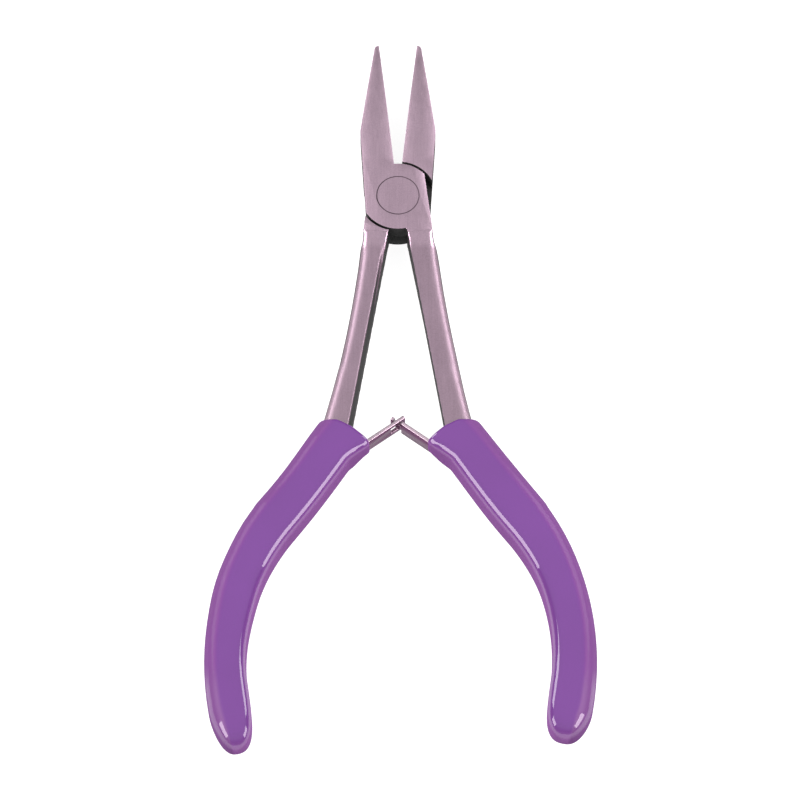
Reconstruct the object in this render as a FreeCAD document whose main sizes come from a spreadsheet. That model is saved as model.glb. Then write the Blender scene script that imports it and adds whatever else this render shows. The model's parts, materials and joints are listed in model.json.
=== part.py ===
import FreeCAD, Part
import math
import operator
import os

import Sketcher

# Small lap-joint pliers with tapered smooth jaws, dipped grips and a pair of hooked leaf springs.
# Millimetres and degrees. The origin is on the pivot's axis, on the joint's underside.
# +Y points along the jaws, +X to the right, +Z out of the front face.
#
# Each half is drawn closed, with its jaw left of the closing plane and its tang right of it.
# The front half is then opened about the pivot. The back half is the same forging turned over
# about the long axis, and opened the other way.

doc = FreeCAD.newDocument("needle_nose_pliers")

SIZES = {
    # the lap joint
    "joint_thickness": 6.0,
    "half_opening": 6.2,
    "hub_jaw_radius": 6.0,
    "hub_tang_radius": 6.3,
    "shoulder_gap": 0.4,
    "lap_gap": 0.04,
    "flank_width": 5.67,
    "flank_turn": 24.6,
    "hub_side_turn": 36.0,
    "neck_width": 5.05,
    "neck_reach": 5.8,
    "crotch_turn": 7.4,
    # the jaws
    "jaw_reach": 29.9,
    "jaw_face_gap": 0.02,
    "jaw_bend_reach": 13.0,
    "jaw_bend_width": 5.0,
    "jaw_tip_width": 0.35,
    "jaw_nose_width": 0.92,
    "jaw_nose_length": 0.8,
    "jaw_nose_radius": 0.95,
    "jaw_taper_reach": 7.0,
    "jaw_tip_thickness": 2.4,
    # the bare tangs
    "tang_thickness": 5.4,
    "tang_ramp_reach": 7.0,
    "tang_ramp_length": 2.0,
    "tang_splay": 3.57,
    "shoulder_reach": 9.3,
    "shoulder_width": 5.35,
    "tang_hollow_radius": 225.0,
    "tang_round": 1.5,
    "tang_draft_depth": 2.2,
    "tang_draft_width": 0.45,
    # the handles' cores, inside the grips
    "tang_bend_reach": 46.6,
    "tang_foot_rise": 1.7,
    "tang_foot_width": 4.87,
    "handle_splay": 29.5,
    "core_straight": 17.0,
    "core_bend_radius": 37.4,
    "core_width_high": 5.2,
    "core_width_low": 4.35,
    "tail_inner_turn": 12.0,
    "tail_outer_turn": 17.0,
    "core_tail_length": 8.3,
    # the pivot rivet
    "rivet_head_width": 7.1,
    "rivet_shank_width": 4.0,
    "rivet_head_depth": 1.2,
    "rivet_running_gap": 0.05,
    # the dipped grips
    "grip_thickness": 7.0,
    "grip_wall": 1.4,
    "grip_tail_length": 11.7,
    "grip_round": 2.2,
    "grip_end_round": 3.3,
    "grip_shoulder_rise": 2.7,
    "grip_top_rise": 4.4,
    "grip_top_width": 2.97,
    "grip_shoulder_radius": 4.5,
    "grip_slope_radius": 12.0,
    "web_drop": 3.9,
    "web_wall": 0.35,
    "web_round": 5.5,
    # the leaf springs
    "leaf_thickness": 0.6,
    "leaf_width": 3.6,
    "leaf_seat_gap": 0.05,
    "leaf_clearance": 0.04,
    "leaf_splay": 43.5,
    "leaf_root_drop": 5.3,
    "leaf_root_length": 5.2,
    "leaf_mouth": 7.2,
    "window_width": 1.9,
    "window_below": 1.6,
    "window_above": 0.6,
    "window_bar": 0.7,
    "tongue_width": 1.3,
    "tongue_start": 1.9,
    "tongue_reach": 1.3,
    "hook_width": 2.7,
    "hook_length": 0.5,
    # the leaf springs' rivets
    "pin_drop": 3.0,
    "pin_width": 1.4,
    "pin_hole_gap": 0.06,
    "pin_depth": 2.2,
    "pin_head_width": 2.3,
    "pin_head_height": 0.35,
    # how far cutting shapes stand clear of the steel
    "cutter_margin": 1.0,
    "cutter_reach": 110.0,
}

sheet = doc.addObject("Spreadsheet::Sheet", "sizes")
for row, (alias, value) in enumerate(SIZES.items(), start=1):
    sheet.set(f"A{row}", alias)
    sheet.set(f"B{row}", str(value))
    sheet.setAlias(f"B{row}", alias)
doc.recompute()


class Formula:
    """A formula of the sheet's values. The document keeps its text, so that it can recompute it."""

    SIGNS = {"+": operator.add, "-": operator.sub, "*": operator.mul, "/": operator.truediv}

    def __init__(self, text, value):
        self.text = text
        self.value = value

    def _join(self, sign, other, swap=False):
        left, right = (other, self) if swap else (self, other)
        value = self.SIGNS[sign](as_number(left), as_number(right))
        return Formula(f"({as_text(left)} {sign} {as_text(right)})", value)

    def __add__(self, other):
        return self._join("+", other)

    def __radd__(self, other):
        return self._join("+", other, swap=True)

    def __sub__(self, other):
        return self._join("-", other)

    def __rsub__(self, other):
        return self._join("-", other, swap=True)

    def __mul__(self, other):
        return self._join("*", other)

    def __rmul__(self, other):
        return self._join("*", other, swap=True)

    def __truediv__(self, other):
        return self._join("/", other)

    def __neg__(self):
        return 0 - self


def as_text(value):
    return value.text if isinstance(value, Formula) else str(value)


def as_number(value):
    return value.value if isinstance(value, Formula) else float(value)


def sin(angle):
    return Formula(f"sin({as_text(angle)})", math.sin(math.radians(as_number(angle))))


def cos(angle):
    return Formula(f"cos({as_text(angle)})", math.cos(math.radians(as_number(angle))))


def tan(angle):
    return Formula(f"tan({as_text(angle)})", math.tan(math.radians(as_number(angle))))


class Sizes:
    """The sheet's values by name."""

    def __getattr__(self, alias):
        return Formula(f"sizes.{alias}", SIZES[alias])


size = Sizes()


# ---------------------------------------------------------------- sketches and features


def new_body(name):
    body = doc.addObject("PartDesign::Body", name)
    body.Label = name
    return body


def new_sketch(body, name, role, offset=None):
    """A sketch on one of the body's own origin planes, raised by offset along its normal."""
    sketch = body.newObject("Sketcher::SketchObject", name)
    origin_plane = next(item for item in body.Origin.OriginFeatures if item.Role == role)
    sketch.AttachmentSupport = (origin_plane, [""])
    sketch.MapMode = "FlatFace"
    if offset is not None:
        sketch.setExpression("AttachmentOffset.Base.z", as_text(offset))
    return sketch


def arc_between(start, end, radius, turn):
    """The shorter arc from start to end; turn is 1 for a left-hand bend and -1 for a right-hand one."""
    chord = end - start
    across = FreeCAD.Vector(-chord.y, chord.x, 0).normalize()
    rise = math.sqrt(max(radius**2 - (chord.Length / 2) ** 2, 0))
    centre = (start + end) / 2 + across * rise * turn
    first, last = (start, end) if turn > 0 else (end, start)
    angles = [math.atan2(point.y - centre.y, point.x - centre.x) for point in (first, last)]
    circle = Part.Circle(centre, FreeCAD.Vector(0, 0, 1), radius)
    return Part.ArcOfCircle(circle, angles[0], angles[1])


def outline(sketch, corners):
    """A closed outline. A corner is (x, y), or (x, y, radius, turn) where an arc leaves it."""
    points = [FreeCAD.Vector(as_number(corner[0]), as_number(corner[1]), 0) for corner in corners]
    stretches = []
    for index, corner in enumerate(corners):
        start, end = points[index], points[(index + 1) % len(points)]
        if len(corner) == 4:
            turn = corner[3]
            arc = arc_between(start, end, as_number(corner[2]), turn)
            number = sketch.addGeometry(arc, False)
            stretches.append((number, 1, 2) if turn > 0 else (number, 2, 1))
        else:
            number = sketch.addGeometry(Part.LineSegment(start, end), False)
            stretches.append((number, 1, 2))
    for index, corner in enumerate(corners):
        number, start, _ = stretches[index]
        before, _, before_end = stretches[index - 1]
        sketch.addConstraint(Sketcher.Constraint("Coincident", before, before_end, number, start))
        bind(sketch, Sketcher.Constraint("DistanceX", number, start, points[index].x), corner[0])
        bind(sketch, Sketcher.Constraint("DistanceY", number, start, points[index].y), corner[1])
        if len(corner) == 4:
            bind(sketch, Sketcher.Constraint("Radius", number, as_number(corner[2])), corner[2])
    return sketch


def bind(sketch, constraint, formula):
    """Adds a constraint whose value the sheet drives."""
    number = sketch.addConstraint(constraint)
    if isinstance(formula, Formula):
        sketch.setExpression(f"Constraints[{number}]", formula.text)


def pad(body, name, sketch, length, side="One side"):
    feature = body.newObject("PartDesign::Pad", name)
    feature.Profile = sketch
    feature.SideType = side
    feature.setExpression("Length", as_text(length))
    doc.recompute()
    return feature


def cut_away(body, feature, shape_before):
    """Recomputes a cutting feature and makes sure that it took something away."""
    doc.recompute()
    if feature.Shape.Volume >= shape_before.Volume - 1e-6:
        raise RuntimeError(f"{body.Label}: {feature.Label} cuts nothing")
    return feature


def pocket(body, name, sketch, length, side="One side", upwards=True):
    before = body.Shape.copy()
    feature = body.newObject("PartDesign::Pocket", name)
    feature.Profile = sketch
    feature.SideType = side
    feature.Reversed = upwards
    feature.setExpression("Length", as_text(length))
    return cut_away(body, feature, before)


def groove(body, name, sketch):
    before = body.Shape.copy()
    feature = body.newObject("PartDesign::Groove", name)
    feature.Profile = sketch
    feature.ReferenceAxis = (sketch, ["V_Axis"])
    feature.Angle = 360
    return cut_away(body, feature, before)


def edges_where(shape, wanted):
    """The names of the edges whose middle point passes the test."""
    names = []
    for number, edge in enumerate(shape.Edges, start=1):
        middle = edge.valueAt((edge.FirstParameter + edge.LastParameter) / 2)
        if wanted(edge, middle):
            names.append(f"Edge{number}")
    return names


def fillet(body, name, radius, wanted):
    base = body.Tip
    feature = body.newObject("PartDesign::Fillet", name)
    feature.Base = (base, edges_where(base.Shape, wanted))
    feature.setExpression("Radius", as_text(radius))
    doc.recompute()
    return feature


# ---------------------------------------------------------------- places that several pieces share

front_face = size.joint_thickness
mid_plane = size.joint_thickness / 2
cutter_margin = size.cutter_margin

# where the hub's edge meets the tang's inner side, and where that side bends into the handle
crotch_x = size.hub_tang_radius * sin(size.crotch_turn)
crotch_y = -size.hub_tang_radius * cos(size.crotch_turn)
bend_x = crotch_x + (size.tang_bend_reach + crotch_y) * tan(size.tang_splay)
bend_y = -size.tang_bend_reach
tang_foot_y = bend_y + size.tang_foot_rise

# the end of the core's straight inner side, and the centres of the bows of its two sides
straight_x = bend_x + size.core_straight * sin(size.handle_splay)
straight_y = bend_y - size.core_straight * cos(size.handle_splay)
bow_x = straight_x - size.core_bend_radius * cos(size.handle_splay)
bow_y = straight_y - size.core_bend_radius * sin(size.handle_splay)
bow_shift = (size.core_width_low - size.core_width_high) / (1 - cos(size.handle_splay))
outer_bow_x = bow_x + bow_shift
outer_bow_radius = size.core_bend_radius + size.core_width_low - bow_shift


def handle_point(inwards, along):
    """A point beside the core's straight inner side, measured from its bend."""
    x = bend_x - inwards * cos(size.handle_splay) + along * sin(size.handle_splay)
    y = bend_y - inwards * sin(size.handle_splay) - along * cos(size.handle_splay)
    return x, y


def handle_corners(wall, tail):
    """The handle's outline from its straight inner side round the tail to its straight outer side."""
    splay = size.handle_splay
    inner_turn = size.tail_inner_turn
    outer_turn = size.tail_outer_turn
    inner = size.core_bend_radius - wall
    outer = outer_bow_radius + wall
    further = outer * (outer_turn - inner_turn) * math.radians(1)
    outer_tail = tail + bow_shift * sin(outer_turn) - further
    inner_x = bow_x + inner * cos(inner_turn)
    inner_y = bow_y - inner * sin(inner_turn)
    outer_x = outer_bow_x + outer * cos(outer_turn)
    outer_y = bow_y - outer * sin(outer_turn)
    return [
        (bow_x + inner * cos(splay), bow_y + inner * sin(splay), inner, -1),
        (inner_x, inner_y),
        (inner_x - tail * sin(inner_turn), inner_y - tail * cos(inner_turn)),
        (outer_x - outer_tail * sin(outer_turn), outer_y - outer_tail * cos(outer_turn)),
        (outer_x, outer_y, outer, 1),
        (outer_bow_x + outer * cos(splay), bow_y + outer * sin(splay)),
    ]


# the leaf turns away from the tang here, and its hinge axis stands here
leaf_off = size.leaf_seat_gap + size.leaf_thickness / 2
leaf_x, leaf_y = handle_point(leaf_off, size.leaf_root_drop)
leaf_turn = size.leaf_splay - size.handle_splay

# how far from there the two leaves cross, in the middle, when the pliers lie open
leaf_lean = size.leaf_splay + size.half_opening
leaf_across = leaf_x * cos(size.half_opening) - leaf_y * sin(size.half_opening)
leaf_crossing = leaf_across / sin(leaf_lean)


def leaf_point(across, along):
    """A point beside the leaf's blade, measured from where it turns away from the tang."""
    x = leaf_x - along * sin(size.leaf_splay) + across * cos(size.leaf_splay)
    y = leaf_y + along * cos(size.leaf_splay) + across * sin(size.leaf_splay)
    return x, y


def half_placement(front):
    """Where a half, and what it carries, stands when the pliers lie open."""
    opening = size.half_opening.value
    upright = FreeCAD.Vector(0, 0, 1)
    if front:
        return FreeCAD.Placement(FreeCAD.Vector(), FreeCAD.Rotation(upright, opening))
    turned_over = FreeCAD.Placement(
        FreeCAD.Vector(0, 0, front_face.value), FreeCAD.Rotation(FreeCAD.Vector(0, 1, 0), 180))
    return FreeCAD.Placement(FreeCAD.Vector(), FreeCAD.Rotation(upright, -opening)).multiply(turned_over)


def leaf_placement(front):
    """Where a leaf's own frame stands: its origin on the leaf's hinge axis, its blade along +Y."""
    spot = FreeCAD.Vector(leaf_x.value, leaf_y.value, mid_plane.value)
    turn = FreeCAD.Rotation(FreeCAD.Vector(0, 0, 1), size.leaf_splay.value)
    return half_placement(front).multiply(FreeCAD.Placement(spot, turn))


def pin_placement(front):
    """Where a spring rivet's own frame stands: on the tang's inner face, +Z away from the tang."""
    x, y = handle_point(0, size.leaf_root_drop + size.pin_drop)
    away = FreeCAD.Vector(-cos(size.handle_splay).value, -sin(size.handle_splay).value, 0)
    turn = FreeCAD.Rotation(FreeCAD.Vector(0, 0, 1), away)
    spot = FreeCAD.Vector(x.value, y.value, mid_plane.value)
    return half_placement(front).multiply(FreeCAD.Placement(spot, turn))


# ---------------------------------------------------------------- the two forged halves


def rivet_hole(sketch, gap):
    """Half the section of a half's countersunk rivet hole."""
    head = size.rivet_head_width / 2 + gap
    shank = size.rivet_shank_width / 2 + gap
    return outline(sketch, [
        (0, 0),
        (shank, 0),
        (shank, front_face - size.rivet_head_depth),
        (head, front_face),
        (head, front_face + cutter_margin),
        (0, front_face + cutter_margin),
    ])


def forging_plan(sketch):
    """The whole half seen from the front, anticlockwise from the jaw's tip."""
    hub = size.hub_jaw_radius
    nose = size.jaw_nose_length
    return outline(sketch, [
        (-size.jaw_face_gap, size.jaw_reach),
        (-size.jaw_tip_width, size.jaw_reach, size.jaw_nose_radius, 1),
        (-size.jaw_nose_width, size.jaw_reach - nose),
        (-size.jaw_bend_width, size.jaw_bend_reach),
        (-size.flank_width, -size.hub_tang_radius * sin(size.flank_turn), size.hub_tang_radius, 1),
        (crotch_x, crotch_y),
        (bend_x, bend_y),
        *handle_corners(0, size.core_tail_length),
        (bend_x + size.tang_foot_width, tang_foot_y, size.tang_hollow_radius, -1),
        (size.shoulder_width, -size.shoulder_reach),
        (size.neck_width, -size.shoulder_reach),
        (size.neck_width, -size.neck_reach),
        (hub * cos(size.hub_side_turn), hub * sin(size.hub_side_turn), hub, 1),
        (-size.jaw_face_gap, hub),
    ])


def side_cutters(sketch):
    """What is cut from the blank's front and back faces, seen from the side: the jaw's taper and
    the thinner tang behind the ground joint."""
    run = size.jaw_reach - size.jaw_taper_reach
    drop = mid_plane - size.jaw_tip_thickness / 2
    taper_radius = (run * run + drop * drop) / (2 * drop)
    ramp_end = size.tang_ramp_reach + size.tang_ramp_length
    for side in (1, -1):
        ground = mid_plane + side * mid_plane
        clear = mid_plane + side * (mid_plane + cutter_margin)
        tip = mid_plane + side * size.jaw_tip_thickness / 2
        tang = mid_plane + side * size.tang_thickness / 2
        outline(sketch, [
            (size.jaw_taper_reach, ground, taper_radius, -side),
            (size.jaw_reach, tip),
            (size.jaw_reach + cutter_margin, tip),
            (size.jaw_reach + cutter_margin, clear),
            (size.jaw_taper_reach, clear),
        ])
        outline(sketch, [
            (-size.tang_ramp_reach, ground),
            (-ramp_end, tang),
            (-size.cutter_reach, tang),
            (-size.cutter_reach, clear),
            (-size.tang_ramp_reach, clear),
        ])
    return sketch


def lap_recess(sketch):
    """The round recess that takes the other half's hub, wider on the tang's side."""
    jaw_side = size.hub_jaw_radius + size.shoulder_gap
    tang_side = size.hub_tang_radius + size.shoulder_gap
    return outline(sketch, [
        (jaw_side, 0, jaw_side, 1),
        (0, jaw_side, jaw_side, 1),
        (-jaw_side, 0),
        (-tang_side, 0, tang_side, 1),
        (0, -tang_side, tang_side, 1),
        (tang_side, 0),
    ])


def on_tang_edge(edge, middle):
    """Whether an edge runs along the bare tang's front or back face."""
    level = abs(middle.z - mid_plane.value)
    along = tang_foot_y.value < middle.y < -size.shoulder_reach.value
    upright = abs(edge.tangentAt(edge.FirstParameter).z) > 0.9
    return along and level > size.tang_thickness.value / 2 - 0.01 and not upright


def on_outer_side(edge, middle):
    return on_tang_edge(edge, middle) and middle.x > size.shoulder_width.value - 0.01


def on_inner_side(edge, middle):
    return on_tang_edge(edge, middle) and middle.x < size.shoulder_width.value / 2


def forging(name, front, rivet_gap):
    """One half without its spring rivet's hole."""
    body = new_body(name)
    plan = forging_plan(new_sketch(body, name + "_plan", "XY_Plane"))
    pad(body, name + "_blank", plan, size.joint_thickness)
    sides = side_cutters(new_sketch(body, name + "_sides", "YZ_Plane"))
    pocket(body, name + "_thinning", sides, 2 * size.cutter_reach, side="Symmetric")
    lap = lap_recess(new_sketch(body, name + "_lap", "XY_Plane"))
    pocket(body, name + "_lap_recess", lap, mid_plane + size.lap_gap / 2)
    hole = rivet_hole(new_sketch(body, name + "_hole", "XZ_Plane"), rivet_gap)
    groove(body, name + "_rivet_hole", hole)
    fillet(body, name + "_tang_round", size.tang_round, on_outer_side)
    draft = body.newObject("PartDesign::Chamfer", name + "_draft")
    base = doc.getObject(name + "_tang_round")
    draft.Base = (base, edges_where(base.Shape, on_inner_side))
    draft.ChamferType = "Two distances"
    draft.setExpression("Size", size.tang_draft_width.text)
    draft.setExpression("Size2", size.tang_draft_depth.text)
    doc.recompute()
    body.Placement = half_placement(front)
    return body


def pivot_rivet():
    body = new_body("pivot_rivet")
    sketch = new_sketch(body, "pivot_rivet_section", "XZ_Plane")
    head = size.rivet_head_width / 2
    shank = size.rivet_shank_width / 2
    outline(sketch, [
        (0, 0),
        (head, 0),
        (shank, size.rivet_head_depth),
        (shank, front_face - size.rivet_head_depth),
        (head, front_face),
        (0, front_face),
    ])
    turned = body.newObject("PartDesign::Revolution", "pivot_rivet_turned")
    turned.Profile = sketch
    turned.ReferenceAxis = (sketch, ["V_Axis"])
    turned.Angle = 360
    doc.recompute()
    return body


# ---------------------------------------------------------------- the leaf springs and their rivets


def leaf(name, front, length, clearance):
    """A bent strip: its root lies along the tang, and its blade stands out towards the other leaf."""
    body = new_body(name)
    half = size.leaf_thickness / 2 + clearance
    root = size.leaf_root_length + clearance
    mitre = half * tan(leaf_turn / 2)
    down_x = -sin(leaf_turn)
    down_y = -cos(leaf_turn)
    strip = outline(new_sketch(body, name + "_bend", "XY_Plane"), [
        (root * down_x - half * cos(leaf_turn), root * down_y + half * sin(leaf_turn)),
        (root * down_x + half * cos(leaf_turn), root * down_y - half * sin(leaf_turn)),
        (half, -mitre),
        (half, length),
        (-half, length),
        (-half, mitre),
    ])
    pad(body, name + "_strip", strip, size.leaf_width + 2 * clearance, side="Symmetric")
    body.Placement = leaf_placement(front)
    return body


def windowed_leaf(name, front):
    """The leaf with a window near its end, which the other leaf's tongue goes through."""
    above = leaf_crossing + size.window_above
    body = leaf(name, front, above + size.window_bar, 0)
    below = leaf_crossing - size.window_below
    half = size.window_width / 2
    window = outline(new_sketch(body, name + "_window", "YZ_Plane"), [
        (below, -half),
        (above, -half),
        (above, half),
        (below, half),
    ])
    pocket(body, name + "_window_cut", window, 2 * size.leaf_width, side="Symmetric")
    return body


def tongued_leaf(name, front):
    """The leaf whose narrow tongue ends in a cross hook beyond the window."""
    reach = leaf_crossing + size.tongue_reach
    body = leaf(name, front, reach, 0)
    neck = leaf_crossing - size.tongue_start
    hook = reach - size.hook_length
    sketch = new_sketch(body, name + "_tongue", "YZ_Plane")
    for side in (1, -1):
        corners = [
            (neck, side * size.tongue_width / 2),
            (hook, side * size.tongue_width / 2),
            (hook, side * size.hook_width / 2),
            (reach + cutter_margin, side * size.hook_width / 2),
            (reach + cutter_margin, side * size.leaf_width),
            (neck, side * size.leaf_width),
        ]
        outline(sketch, corners)
    pocket(body, name + "_tongue_cut", sketch, 2 * size.leaf_width, side="Symmetric")
    return body


def spring_rivet(name, front):
    """A small headed rivet through the leaf's root into the tang."""
    body = new_body(name)
    shank = size.pin_width / 2
    head = size.pin_head_width / 2
    under_head = 2 * size.leaf_seat_gap + size.leaf_thickness
    section = outline(new_sketch(body, name + "_section", "XZ_Plane"), [
        (0, -size.pin_depth),
        (shank, -size.pin_depth),
        (shank, under_head),
        (head, under_head),
        (head, under_head + size.pin_head_height),
        (0, under_head + size.pin_head_height),
    ])
    turned = body.newObject("PartDesign::Revolution", name + "_turned")
    turned.Profile = section
    turned.ReferenceAxis = (section, ["V_Axis"])
    turned.Angle = 360
    doc.recompute()
    body.Placement = pin_placement(front)
    return body


def rivet_clearance(name, front):
    """The hole in a leaf's root."""
    drill = doc.addObject("Part::Cylinder", name)
    drill.setExpression("Radius", (size.pin_width / 2 + size.pin_hole_gap).text)
    drill.setExpression("Height", (2 * size.leaf_width).text)
    drill.Placement = pin_placement(front)
    return drill


# ---------------------------------------------------------------- the dipped grips


def grip_blank(name, front):
    """A grip before its hollow is cut: a bowed bar with a web around the leaf's mouth."""
    body = new_body(name)
    wall = size.grip_wall
    corners = handle_corners(wall, size.grip_tail_length)
    top_x, top_y = corners[-1]
    shoulder_y = bend_y + size.grip_shoulder_rise
    shoulder_x = top_x - (shoulder_y - top_y) * tan(size.handle_splay)
    lip = size.leaf_thickness / 2 + size.web_wall
    mouth = size.leaf_mouth
    plan = outline(new_sketch(body, name + "_plan", "XY_Plane", mid_plane - size.grip_thickness / 2), [
        leaf_point(lip, mouth),
        leaf_point(-lip, mouth),
        handle_point(wall, size.web_drop),
        *corners,
        (shoulder_x, shoulder_y, size.grip_shoulder_radius, 1),
        (bend_x + size.grip_top_width, bend_y + size.grip_top_rise, size.grip_slope_radius, 1),
    ])
    pad(body, name + "_bar", plan, size.grip_thickness)
    foot_x, foot_y = (part.value for part in handle_point(wall, size.web_drop))
    tail_y = corners[2][1].value

    def at_tail(edge, middle):
        return is_upright(edge) and middle.y < tail_y + 0.5

    def at_web(edge, middle):
        return is_upright(edge) and math.hypot(middle.x - foot_x, middle.y - foot_y) < 0.1

    def along_handle(edge, middle):
        top = middle.x > top_x.value and middle.y > top_y.value
        lip_or_slope = middle.y > leaf_point(-lip, mouth)[1].value
        return not is_upright(edge) and not top and not lip_or_slope

    fillet(body, name + "_end", size.grip_end_round, at_tail)
    fillet(body, name + "_web", size.web_round, at_web)
    fillet(body, name + "_round", size.grip_round, along_handle)
    body.Placement = half_placement(front)
    return body


def is_upright(edge):
    return abs(edge.tangentAt(edge.FirstParameter).z) > 0.9


def hollowed(name, solid, tools):
    """A solid with other pieces' shapes taken out of it."""
    taken = tools[0]
    if len(tools) > 1:
        taken = doc.addObject("Part::MultiFuse", name + "_contents")
        taken.Shapes = tools
    piece = doc.addObject("Part::Cut", name)
    piece.Base = solid
    piece.Tool = taken
    piece.Label = name
    doc.recompute()
    return piece


# ---------------------------------------------------------------- the pieces


def build_side(front, half, hand, springy_leaf, rivet_gap):
    """One half with its grip, its leaf and the leaf's rivet."""
    blank = forging(half + "_forging", front, rivet_gap)
    pin = spring_rivet(hand + "_spring_rivet", front)
    strip = springy_leaf(hand + "_leaf_strip", front)
    slot = leaf(hand + "_leaf_slot", front, leaf_crossing, size.leaf_clearance)
    sleeve = grip_blank(hand + "_grip_blank", front)
    return [
        hollowed(half, blank, [pin]),
        pin,
        hollowed(hand + "_leaf_spring", strip, [rivet_clearance(hand + "_leaf_hole", front)]),
        hollowed(hand + "_grip", sleeve, [blank, slot, pin]),
    ]


pieces = [pivot_rivet()]
pieces += build_side(True, "front_half", "right", tongued_leaf, 0)
pieces += build_side(False, "back_half", "left", windowed_leaf, size.rivet_running_gap)
doc.recompute()

for item in doc.Objects:
    if "Invalid" in item.State or "Error" in item.State:
        raise RuntimeError(f"{item.Label} failed: {item.State}")

os.makedirs("parts", exist_ok=True)
for piece in pieces:
    shape = piece.Shape
    if shape.isNull() or not shape.isValid() or len(shape.Solids) != 1:
        raise RuntimeError(f"{piece.Label} is not one valid solid")
    box = shape.BoundBox
    shape.exportStep(f"parts/{piece.Label}.step")
    print(f"{piece.Label:20s} {shape.Volume:9.2f} mm3  x {box.XMin:.2f} {box.XMax:.2f}"
          f"  y {box.YMin:.2f} {box.YMax:.2f}  z {box.ZMin:.2f} {box.ZMax:.2f}")
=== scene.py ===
import json
import math

import bmesh
import bpy
from bpy.props import FloatProperty, FloatVectorProperty, PointerProperty
from mathutils import Matrix, Vector


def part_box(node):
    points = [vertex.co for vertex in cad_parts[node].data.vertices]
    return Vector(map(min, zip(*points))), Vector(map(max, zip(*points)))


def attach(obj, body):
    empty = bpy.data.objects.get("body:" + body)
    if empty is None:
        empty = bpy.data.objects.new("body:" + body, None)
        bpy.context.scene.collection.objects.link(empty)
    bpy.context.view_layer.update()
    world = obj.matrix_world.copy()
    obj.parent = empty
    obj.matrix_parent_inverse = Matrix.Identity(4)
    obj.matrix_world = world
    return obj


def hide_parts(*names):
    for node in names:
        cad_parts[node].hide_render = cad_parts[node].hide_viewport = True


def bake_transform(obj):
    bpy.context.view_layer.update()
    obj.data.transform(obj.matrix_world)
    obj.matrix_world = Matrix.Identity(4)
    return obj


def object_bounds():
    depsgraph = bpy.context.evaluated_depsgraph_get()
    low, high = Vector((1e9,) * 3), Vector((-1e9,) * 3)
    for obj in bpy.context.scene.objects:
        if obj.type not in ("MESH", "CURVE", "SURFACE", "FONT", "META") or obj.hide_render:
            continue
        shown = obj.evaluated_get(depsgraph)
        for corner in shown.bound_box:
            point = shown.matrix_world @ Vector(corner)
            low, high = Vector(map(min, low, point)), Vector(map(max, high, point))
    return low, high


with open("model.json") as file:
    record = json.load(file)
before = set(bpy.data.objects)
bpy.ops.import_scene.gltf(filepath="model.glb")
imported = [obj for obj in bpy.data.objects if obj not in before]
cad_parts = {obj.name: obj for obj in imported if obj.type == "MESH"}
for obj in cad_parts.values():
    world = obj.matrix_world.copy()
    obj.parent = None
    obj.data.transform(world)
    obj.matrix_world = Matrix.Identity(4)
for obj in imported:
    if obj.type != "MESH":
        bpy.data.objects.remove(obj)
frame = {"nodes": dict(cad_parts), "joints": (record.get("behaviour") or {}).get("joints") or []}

bl_info = {
    "name": "Needle Nose Pliers",
    "version": (1, 0, 0),
    "blender": (4, 5, 0),
    "location": "3D View > Sidebar > Pliers",
    "description": (
        "Small lap-joint pliers with ground steel halves, dipped grips and hooked leaf springs"),
    "category": "Object",
}

# The halves are drawn closed, in millimetres, and each is then opened about the pivot. The back
# half is the front one turned over about its long axis.
MM = 0.001
CAD_LOW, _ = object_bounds()
JOINT_LOW, JOINT_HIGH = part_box("front_half")
GRIP_LOW, GRIP_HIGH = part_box("right_grip")
JOINT_DEPTH = (JOINT_HIGH.z - JOINT_LOW.z) / MM
MID = JOINT_DEPTH / 2

# Where the leaf springs cross, in metres, and the right leaf's shoulder: the stretch short of the
# crossing that is moved, and how far along the blade.
CROSSING = -41.02 * MM
SHOULDER_FROM, SHOULDER_TO, SHOULDER_MOVE = 1.5, 2.3, 1.1

# The tang's soft skin runs between these two heights. Its top and foot are cut with some spare,
# and the skin is drawn in a little where it overlaps the joint's crisp edges.
TANG_TOP, TANG_FOOT = -7.0, -48.0
TANG_SPARE_TOP, TANG_SPARE_FOOT = 2.0, 1.0
TANG_CELL, TANG_PASSES = 0.15, 6
TANG_INSET, TANG_FADE = 0.03, 0.4

# The tang's outline is moved between these heights, on the outer part of its width, by each
# half's own amount inwards.
HOLLOW_TOP, HOLLOW_TOP_FADE = -5.5, 8.0
HOLLOW_FOOT, HOLLOW_FOOT_FADE = -42.0, 14.0
HOLLOW_SIDE, HOLLOW_SIDE_FADE = 2.5, 2.0
HOLLOW = {"front_half": -0.25, "back_half": 0.15}

# The inner part of the tang's face is levelled: its height above the middle, the height from
# which it is lifted, how far in from the outer edge it starts, and how each of these fades.
FACE_HEIGHT = 2.66
FACE_LOW, FACE_LOW_FADE = 1.95, 0.2
FACE_IN, FACE_IN_FADE = 1.6, 0.4
FACE_TOP, FACE_TOP_FADE = TANG_TOP - 0.5, 3.5

# The worn outer side: how wide it is, and how often it is smoothed.
WORN_WIDTH, WORN_PASSES = 2.6, 60

# The dipped skin: the width that its rounding is drawn at, how often it is smoothed, and how its
# underside is lifted near the mouth.
GRIP_WIDTH = 7.9
DIP_PASSES = 24
MOUTH_LIFT, MOUTH_WIDTH = 0.25, 2.4

# Patterns, in repeats per metre.
STEEL_GRAIN, STEEL_CLOUD, STEEL_PITS = (5200, 190, 5200), 260, 5200
LEAF_GRAIN, LEAF_CLOUD = (420, 420, 6200), 700
VINYL_CLOUD, VINYL_SPECK, VINYL_SWELL = 90, 2600, 160
RING_WAVES, RING_WANDER = 900, 0.1 * MM

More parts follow.
